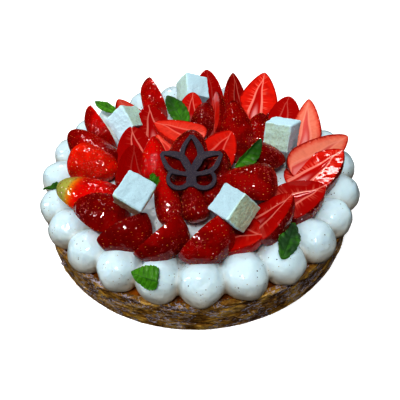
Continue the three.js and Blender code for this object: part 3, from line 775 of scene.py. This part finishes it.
for number, (stem, tip, width, roll, ripeness, paleness, core_show, point) in enumerate(BERRIES):
    draw = random.Random(100 + number)
    waisted = number == WAISTED
    outline = (WAISTED_SHOULDER if waisted else SHOULDER, WAISTED_NECK if waisted else 0, point)
    stem_point = Vector(stem)
    axis = Vector(tip) - stem_point
    length = axis.length
    axis.normalize()
    upright = (Vector((0, 0, 1)) - axis * axis.z).normalized()
    face = Matrix.Rotation(radians(roll), 3, axis) @ upright
    across = face.cross(axis)
    placed = Matrix((across, axis, face)).transposed().to_4x4()
    placed.translation = stem_point

    def berry_surface(share, side, depth):
        """Points in the berry's own axes for sections, with side and depth as on a unit circle."""
        full = berry_fullness(share, *outline) * width / 2
        lump = 1 + 0.03 * np.sin(7 * share + number) * depth + 0.02 * np.sin(4 * side + 9 * share + number)
        return np.stack([side * full, share * length, depth * full * lump], axis=-1)

    def on_skin(share, turn):
        return berry_surface(share, np.cos(turn), -np.sin(turn))

    share = (ball_place[:, 1] + 1) / 2
    ring = np.sqrt(np.clip(1 - ball_place[:, 1] ** 2, 1e-9, 1))
    side = ball_place[:, 0] / ring
    depth = ball_place[:, 2] / ring
    points = berry_surface(share, side, depth)

    # the seeds and the dimples that they sit in
    seeds = seed_places(length, width, outline, draw)
    seed_share, seed_turn = seeds[:, 0], seeds[:, 1]
    seed_points = on_skin(seed_share, seed_turn)
    step_on = on_skin(np.clip(seed_share + 0.01, 0, 1), seed_turn)
    outward = np.cross(step_on - seed_points, on_skin(seed_share, seed_turn + 0.02) - seed_points)
    outward /= np.linalg.norm(outward, axis=1, keepdims=True)
    middle_line = np.stack([0 * seed_share, seed_share * length, 0 * seed_share - width * 0.1], axis=-1)
    outward *= np.sign(np.sum(outward * (seed_points - middle_line), axis=1, keepdims=True))
    gap = points[is_skin][:, None, :] - seed_points[None, :, :]
    nearest = np.linalg.norm(gap, axis=2)
    closeness = np.clip(1 - (nearest / DIMPLE_RADIUS) ** 2, 0, 1) ** 2
    points[is_skin] -= (closeness[:, :, None] * outward[None, :, :]).sum(axis=1) * DIMPLE_DEPTH

    # the cut face: a shallow hollow along the core, with its vein standing a little proud
    full = berry_fullness(share, *outline)
    spread = side * full
    bow = 0.05 * np.sin(4.5 * share + number) + 0.02 * np.sin(13 * share + 2.1 * number)
    to_vein = np.abs(spread + bow * np.clip(4 * (1 - share), 0, 1)) - core_width(share)
    to_skin = full - np.abs(spread)
    hollow = CORE_DEPTH * np.clip(-to_vein / 0.2, 0, 1) * core_show
    proud = VEIN_HEIGHT * np.exp(-((to_vein / 0.05) ** 2)) * core_show
    points[is_flat, 2] += np.where(to_skin > 0.04, proud - hollow, 0)[is_flat]

    berry = copy_of(half)
    berry.data.vertices.foreach_set("co", points.astype(np.float32).ravel())
    berry.data.transform(Matrix.Scale(MM, 4) @ placed)
    berry.data.polygons.foreach_set("material_index", [int(flag) for flag in flesh_faces])

    paler_end = np.clip(0.36 - 3 * share, 0, 1)
    if number == UNRIPE:
        paler_end = np.clip((share - 0.5) / 0.24, 0, 1) * 1.45
    store_values(berry, "ripe", np.clip(ripeness - 0.45 * paler_end, 0, 1))
    outward_share = np.clip(to_vein / 0.6, 0, 1)
    ray_start = (share + 0.16 * outward_share) / (1 + 0.4 * outward_share)
    ray_here = [ray_start * length * 1.1, np.sign(spread) * 3 + number * 7.3, 0 * share]
    store_values(berry, "ray", np.stack(ray_here, axis=-1))
    store_values(berry, "zone", np.stack([to_vein, to_skin, share], axis=-1))
    store_values(berry, "look", [(paleness, core_show, 0)] * len(share))
    node = f"berry_{number + 1:02d}"
    finish_piece(berry, "half_" + node, "strawberry", node, 55, skin, pulp)

    for seed_point, normal in zip(seed_points, outward):
        normal = Vector(normal)
        forward = (Vector((0, 1, 0)) - normal * normal.y).normalized()
        sideways = forward.cross(normal)
        sit = Matrix((sideways, forward, normal)).transposed().to_4x4()
        sit.translation = Vector(seed_point) - normal * (DIMPLE_DEPTH - SEED_REST)
        copy = seed_mesh.copy()
        copy.transform(Matrix.Scale(MM, 4) @ placed @ sit @ Matrix.Scale(draw.uniform(0.8, 1.1), 4))
        all_seeds.from_mesh(copy)
        bpy.data.meshes.remove(copy)
bpy.data.objects.remove(half)

seeds_mesh = bpy.data.meshes.new("seeds")
all_seeds.to_mesh(seeds_mesh)
all_seeds.free()
bpy.data.objects.remove(seed)
seeds_piece = bpy.data.objects.new("berry_seeds", seeds_mesh)
bpy.context.collection.objects.link(seeds_piece)
seed_coat = new_material("seed_coat", 0.35, Coat_Weight=0.6, Coat_Roughness=0.1)
husk = stretch(noise_at(object_place(seed_coat), 400, 1), 0.42, 0.66)
join_shader("Base Color", mix(husk, (0.3, 0.015, 0.001), (0.55, 0.22, 0.03)))
finish_piece(seeds_piece, "berry_seeds", "strawberry", None, 180, seed_coat)

# ---- Marshmallow cubes ----
# Vanilla marshmallow, cut by hand into cubes and dusted. The dusted sides are white with fine grains,
# and the sides that the knife left are yellowish and full of pores, or browned. Each line gives edge
# length, centre, turn, a brightness for the cube's white that paints how much light falls on it, and
# the sides that aren't white: which way each looks, and how browned it is.
CUBES = [
    (17.4, (-1.5, 59.5, 51.5), (-145.8, 23.7, 17.3), 1.02, [((-0.87, -0.27, 0.4), 0.28)]),
    (16.7, (-44.7, 26.5, 49), (-122.6, 32.6, -54.3), 1.1, [((0.7, -0.05, 0.71), 0.35)]),
    (16.2, (-33.5, -53.5, 57), (-156.3, 25.1, -22.2), 0.82, [
        ((-0.5, -0.78, -0.36), 0.8), ((0.84, -0.34, -0.42), 1),
    ]),
    (16.7, (51, -2, 53.5), (-107.6, -5.5, -33.1), 1, [((-0.54, -0.78, 0.3), 0.36)]),
    (16.2, (17, -63, 53), (-146.9, -11.7, -55), 0.77, [((0.56, -0.8, 0.2), 0.6)]),
]
CUBE_ROUNDING = 0.9
CUBE_CUTS = 55
CUBE_SAG = 0.9
TAN_DUSTING = 1.05  # the brightness of the sides without dust
TAN_MARGIN = 0.16  # the tan fades out over this share of half a side

dusted = new_material("marshmallow", 0.85, Specular_IOR_Level=0.25)
here = object_place(dusted)
browning = stored(dusted, "browning")
grains = noise_at(here, 1500, 3, 0.75)
blotch = noise_at(here, 420, 4, 0.75)
white = mix(stretch(grains, 0.3, 0.5), (0.5, 0.68, 0.76), (0.61, 0.83, 0.91))
uneven = calculate("MULTIPLY_ADD", calculate("SUBTRACT", blotch, 0.5), 1.6, 1)
tint = ramp(
    times(browning, uneven),
    (0, (1, 1, 1)), (0.4, (0.88, 0.87, 0.66)), (0.75, (0.9, 0.68, 0.42)), (1, (1, 0.42, 0.27)),
)
# The white is scaled by each cube's painted brightness, which stands for how lit or shaded it is, and
# tinted on its bare sides.
for tone in (stored(dusted, "cube_brightness"), tint):
    white = add_node(dusted.node_tree, "VectorMath", {0: white, 1: tone}, operation="MULTIPLY").outputs[0]
holes = stretch(noise_at(here, 700, 2, 0.6), 0.36, 0.5, 0.5, 0)
join_shader("Base Color", mix(times(holes, browning), white, (0.12, 0.1, 0.08)))
add_relief(grains, 0.35, 0.35 * MM)

for number, (edge_length, centre, turn, thickness, tan_sides) in enumerate(CUBES):
    bpy.ops.mesh.primitive_cube_add(
        size=edge_length * MM, location=Vector(centre) * MM,
        rotation=[radians(degrees) for degrees in turn],
    )
    cube = bpy.context.object
    bpy.ops.object.mode_set(mode="EDIT")
    bpy.ops.mesh.select_all(action="SELECT")
    bpy.ops.mesh.subdivide(number_cuts=CUBE_CUTS)
    bpy.ops.object.mode_set(mode="OBJECT")
    shift = Vector((number * 9.1, 4, 2))
    core = (edge_length / 2 - CUBE_ROUNDING) * MM

    def shape_cube(place):
        inner = Vector([min(max(along, -core), core) for along in place])
        out = (place - inner).normalized()
        sag = CUBE_SAG * noise(place * 75 + shift) + 0.3 * noise(place * 260 + shift)
        crumb = 0.16 * noise(place * 900 + shift)
        return inner + out * (CUBE_ROUNDING + sag + crumb - 0.2) * MM

    reshape(cube, shape_cube)
    to_local = cube.matrix_world.to_3x3().normalized().inverted()
    browned_here = [0] * len(cube.data.vertices)
    for side, amount in tan_sides:
        looks = to_local @ Vector(side)
        axis = max(range(3), key=lambda k: abs(looks[k]))
        half_edge = edge_length * MM / 2 * copysign(1, looks[axis])
        for index, vertex in enumerate(cube.data.vertices):
            place = vertex.co / half_edge
            if place[axis] > 0.85:
                to_rim = 1 - max(abs(place[(axis + 1) % 3]), abs(place[(axis + 2) % 3]))
                to_rim += 0.12 * noise(vertex.co * 400)
                browned_here[index] = amount * min(max(to_rim / TAN_MARGIN, 0), 1)
    store_values(cube, "browning", browned_here)
    store_values(cube, "cube_brightness", [thickness if value < 0.05 else TAN_DUSTING for value in browned_here])
    finish_piece(cube, f"marshmallow_{number + 1}", "marshmallow", f"cube_{number + 1}", 60, dusted)

# ---- Mint leaves ----
# Fresh mint leaves with toothed edges, a sunken rib and side veins. The small one is the tuft at the
# top of a sprig. Each line gives base, tip, the way the leaf faces, half widths left and right, where
# it is widest, how far it folds up from the rib, how far the rib bends, and how dark base and tip are.
LEAVES = [
    ((-54, 48, 44), (-72, 62, 45), (-0.4, -0.5, 0.8), (3.4, 3.4), 0.5, 0.1, 0.5, (0, 0.25)),
    ((-78, -24, 39.5), (-93, -21, 36), (0.05, 0.25, 0.95), (4.5, 4.5), 0.4, 0.2, 0.5, (0.6, 0.6)),
    ((-24, -43, 53), (-25, -36, 56), (0, -0.4, 0.9), (1.9, 1.9), 0.45, 0.3, 0.8, (0.5, 0.3)),
    ((-6, 16, 50), (-19, 48, 55), (-0.2, -0.2, 0.95), (5.5, 7), 0.45, 0.1, 0.5, (0.25, 0.85)),
    ((20.5, -28, 51), (37, -12, 58), (0.2, -0.6, 0.8), (1.5, 6.8), 0.4, 0.3, 0.5, (0.35, 0.85)),
    ((38, -86, 39.5), (48, -63, 40), (0.25, -0.3, 0.9), (5.8, 5.4), 0.45, 0.15, 2, (0.8, 0.95)),
    ((-22, -95.5, 39), (-35, -87.5, 36.5), (-0.5, -0.5, 0.7), (5.2, 7), 0.25, -0.22, 1, (0.3, 0.2)),
]
TUFT = [
    ((-24, -43, 53), (-28, -39, 54.5), (-0.3, -0.4, 0.9), (1.5, 1.5), 0.45, 0.3, 0.6, (0.6, 0.3)),
    ((-24, -43, 53), (-21.5, -38.5, 55.5), (0.4, -0.4, 0.8), (1.4, 1.4), 0.45, 0.3, 0.6, (0.6, 0.4)),
]
LEAF_THICKNESS = 0.35
VEINS = 6
LEAF_GRID = (40, 60)  # faces across it and along it
LEAF_LIFT = 0.2  # keeps its underside clear of what it lies on
TEETH = 9
PUFF = 0.65  # how high the leaf swells between its veins
TUFT_AT = 2  # the leaf that the rest of the tuft joins

mint = new_material("mint_leaf", 0.5, Specular_IOR_Level=0.25, Coat_Weight=0.2, Coat_Roughness=0.3)
here = object_place(mint)
near_vein = axes_of(add_node(mint.node_tree, "UVMap", uv_map="leaf").outputs["UV"])["Y"]
dark = stored(mint, "dark")
green = ramp(dark, (0, (0.1, 0.33, 0.008)), (0.7, (0.02, 0.09, 0.004)), (1, (0.075, 0.13, 0.085)))
patch = stretch(noise_at(here, 300, 3), 0.4, 0.7, 0, 0.55)
green = mix(patch, green, (0.018, 0.07, 0.008))
young = stretch(noise_at(here, 130, 2), 0.5, 0.66, 0, 0.6)
green = mix(young, green, (0.07, 0.26, 0.012))
# Painted shade: the sunken rib and veins are drawn darker than the leaf between them.
vein_line = stretch(near_vein, 0, 0.2, 0.7, 0)
vein_shade = mix(dark, (0.016, 0.08, 0.002), (0.02, 0.07, 0.02))
join_shader("Base Color", mix(vein_line, green, vein_shade))
add_relief(noise_at(here, 520, 3), 0.6, 0.35 * MM)


def leaf_fullness(share, widest):
    share = min(max(share, 0), 1)
    swell = sin(pi * share ** (log(0.5) / log(widest)))
    return max(max(swell, 0) ** 0.65, 0.03)


def make_leaf(base, tip, facing, halves, widest, fold, bend, darkness):
    """A grid shaped into a leaf: x runs across it from -1 to 1, y along its rib from -1 to 1."""
    bpy.ops.mesh.primitive_grid_add(x_subdivisions=LEAF_GRID[0], y_subdivisions=LEAF_GRID[1], size=2)
    leaf = bpy.context.object
    base, tip = Vector(base), Vector(tip)
    axis = tip - base
    length = axis.length
    axis.normalize()
    up = (Vector(facing) - axis * Vector(facing).dot(axis)).normalized()
    right = axis.cross(up)
    uv = leaf.data.uv_layers.active
    uv.name = "leaf"
    vein_near = []
    darkness_here = []

    def shape_leaf(place):
        share = (place.y + 1) / 2
        darkness_here.append(darkness[0] + (darkness[1] - darkness[0]) * share)
        tooth = (share * TEETH + 0.5 * noise(Vector((share * 6, length, 2)))) % 1
        serration = 1 - 0.1 * (1 - tooth) * abs(place.x) ** 6
        reach = place.x * halves[0 if place.x < 0 else 1] * leaf_fullness(share, widest) * serration
        along = (share - 0.105 * abs(place.x)) * VEINS
        to_vein = abs(along - round(along)) * (1 - 0.3 * abs(place.x)) * 2
        to_rib = abs(place.x) * 2.2
        vein_near.append(min(to_vein, to_rib))
        puff = PUFF * min(to_vein, 1) * min(to_rib, 1) * leaf_fullness(share, widest)
        puff += 0.55 * noise(Vector((place.x * 2.5, share * 7, length))) * min(to_rib, 1)
        wave = 0.35 * place.x ** 2 * sin(12 * share + 1.3 * place.x)
        lift = fold * abs(reach) + bend * sin(pi * share) + wave + puff + LEAF_LIFT
        return (base + axis * length * share + right * reach + up * lift) * MM

    reshape(leaf, shape_leaf)
    for loop in leaf.data.loops:
        uv.data[loop.index].uv = (0.5, vein_near[loop.vertex_index])
    store_values(leaf, "dark", darkness_here)
    apply_modifier(leaf, "SOLIDIFY", thickness=LEAF_THICKNESS * MM)
    return leaf


for number, values in enumerate(LEAVES):
    leaf = make_leaf(*values)
    if number == TUFT_AT:
        take_up(leaf, *[make_leaf(*leaflet) for leaflet in TUFT])
        bpy.ops.object.join()
    finish_piece(leaf, f"mint_leaf_{number + 1}", "mint", f"leaf_{number + 1}", 60, mint)

# ---- Ornament ----
# A thin palmette of dark chocolate, with thick and thin strokes, cut out of a plate and dusted with
# cocoa. It leans back on the berries in the middle.
ORNAMENT_THICKNESS = 2
ORNAMENT_FOOT = Vector((0, -8))
STROKE_STEPS = 40
ORNAMENT_GRAIN = 0.3
ornament_place = Matrix((
    (0.999, 0.048, 0.016, -3.5),
    (-0.035, 0.872, -0.488, -34.5),
    (-0.037, 0.487, 0.872, 62.5),
    (0, 0, 0, 1),
))


def add_stroke(line, half_width):
    """A flat stroke along line(share), with half_width(share) on either side, as a closed outline."""
    left, right = [], []
    for step in range(STROKE_STEPS + 1):
        share = step / STROKE_STEPS
        here = line(share)
        along = (line(share + 0.01) - line(share - 0.01)).normalized()
        across = Vector((-along.y, along.x)) * half_width(share)
        left.append(here + across)
        right.insert(0, here - across)
    outline = bpy.data.curves.new("stroke", "CURVE")
    outline.dimensions = "2D"
    outline.fill_mode = "BOTH"
    outline.extrude = ORNAMENT_THICKNESS / 2
    spline = outline.splines.new("POLY")
    spline.points.add(len(left + right) - 1)
    for point, place in zip(spline.points, left + right):
        point.co = (place.x, place.y, 0, 1)
    spline.use_cyclic_u = True
    stroke = bpy.data.objects.new("stroke", outline)
    bpy.context.collection.objects.link(stroke)
    return stroke


def loop_side(length, belly, degrees, side):
    """One side of a pointed loop that starts at the foot and leans by degrees from upright."""
    lean = Matrix.Rotation(radians(-degrees), 2)
    return lambda share: lean @ Vector(
        (side * belly * sin(pi * share), length * share)
    ) + ORNAMENT_FOOT


def curl(side):
    """A curl that starts at the foot of the loops and winds in on itself."""
    middle = Vector((side * 7.5, -1.8))
    start = atan2(-middle.y, -middle.x)

    def line(share):
        angle = start + side * share * 1.9 * pi
        reach = middle.length * (1 - 0.7 * share)
        return Vector((cos(angle) * reach, sin(angle) * reach)) + middle + ORNAMENT_FOOT

    return line


def swell(most, least):
    return lambda share: least + (most - least) * sin(pi * min(max(share, 0), 1))


strokes = []
for side in (-1, 1):
    strokes.append(add_stroke(loop_side(22.5, 5, 0, side), swell(2 if side > 0 else 1.4, 1)))
    for lean in (-54, 54):
        strokes.append(add_stroke(loop_side(20, 4.6, lean, side), swell(1.4 if side * lean > 0 else 2, 1)))
    strokes.append(add_stroke(curl(side), lambda share: 1.5 - 0.7 * share))
    strokes.append(add_stroke(loop_side(-7, 1.6, 0, side), swell(1.2, 0.9)))
strokes.append(add_stroke(lambda share: Vector((8 * share - 4, 0)) + ORNAMENT_FOOT, swell(1.7, 1.2)))
take_up(*strokes)
bpy.ops.object.convert(target="MESH")
bpy.ops.object.join()
ornament = bpy.context.object
apply_modifier(ornament, "REMESH", mode="VOXEL", voxel_size=ORNAMENT_GRAIN)
apply_modifier(ornament, "SMOOTH", iterations=4)
reshape(ornament, lambda place: place + Vector((0, 0, 0.12 * noise(place * 0.9))))
ornament.data.transform(Matrix.Scale(MM, 4) @ ornament_place)

chocolate = new_material("dusted_chocolate", 0.7, Specular_IOR_Level=0.3)
here = object_place(chocolate)
dust = noise_at(here, 2200, 3, 0.7)
dark_plate = mix(noise_at(here, 200), (0.034, 0.029, 0.046), (0.062, 0.05, 0.07))
join_shader("Base Color", mix(stretch(dust, 0.52, 0.68, 0, 0.6), dark_plate, (0.23, 0.17, 0.13)))
add_relief(dust, 0.5, 0.2 * MM)
finish_piece(ornament, "chocolate_palmette", "chocolate", "ornament", 50, chocolate)

# ---- Glaze drops ----
# Drops of the clear glaze that ran off the berries and set on the filling, between the dollops.
DROPS = [
    (-16.2, -92.4, 0.5), (-14.6, -93.1, 0.7), (-12.6, -92.8, 0.6), (-11, -93.9, 0.5),
    (8.1, -93.8, 0.6), (9.7, -94.1, 0.5), (11.4, -93.6, 0.8), (13, -94, 0.6), (14.7, -93.2, 0.5),
    (-53.6, -75.4, 0.7), (42, -83.7, 0.6), (44, -83.4, 0.8), (-73, -58.5, 0.7), (73, -57.5, 0.6),
]
DROP_FLATNESS = 0.6

bpy.ops.mesh.primitive_uv_sphere_add(segments=16, ring_count=10, radius=1)
drop = bpy.context.object
drops = []
for x, y, size in DROPS:

    def shape_drop(place):
        height = FILLING_TOP + 0.1 + DROP_FLATNESS * size * place.z
        return Vector((x + size * place.x, y + size * place.y, height)) * MM

    copy = copy_of(drop)
    reshape(copy, shape_drop)
    drops.append(copy)
bpy.data.objects.remove(drop)
take_up(*drops)
bpy.ops.object.join()
glaze = new_material("clear_glaze", 0.05, Transmission_Weight=0.8, IOR=1.4)
amber = stretch(noise_at(object_place(glaze), 200), 0.3, 0.7)
join_shader("Base Color", mix(amber, (0.9, 0.7, 0.45), (0.95, 0.85, 0.7)))
finish_piece(drops[0], "glaze_drops", "filling", None, 180, glaze)

# ---- Crumbs ----
# Crumbs of the browned pastry that cling to the rim of the case, and a bigger one on its left side.
CRUMB_COUNT = 70
CRUMB_SIZES = (0.25, 0.6)
BIG_CRUMB = (radians(-143), CRUST_RADIUS + 0.1, 13, 1.3)  # angle, distance, height and size
draw = random.Random(7)
bpy.ops.mesh.primitive_ico_sphere_add(subdivisions=2, radius=1)
crumb = bpy.context.object
crumbs = []
for number in range(CRUMB_COUNT):
    if number == 0:
        angle, radius, height, size = BIG_CRUMB
    else:
        angle = draw.uniform(-pi, pi)
        radius = CRUST_RADIUS - draw.uniform(0.9, CRUST_WALL - 0.6)
        height = CRUST_HEIGHT + 0.1
        size = draw.uniform(*CRUMB_SIZES)
    copy = copy_of(crumb)
    middle = Vector((SQUEEZE * radius * cos(angle) + CRUST_SHIFT, radius * sin(angle), height))
    off = Vector((number * 5.3, 2, 1))

    def shape_crumb(place):
        return (middle + place * size * (1 + 0.7 * noise(place * 1.5 + off))) * MM

    reshape(copy, shape_crumb)
    crumbs.append(copy)
bpy.data.objects.remove(crumb)
take_up(*crumbs)
bpy.ops.object.join()
store_values(crumbs[0], "hollow", [0.3] * len(crumbs[0].data.vertices))
finish_piece(crumbs[0], "pastry_crumbs", "crust", None, 40, pastry)
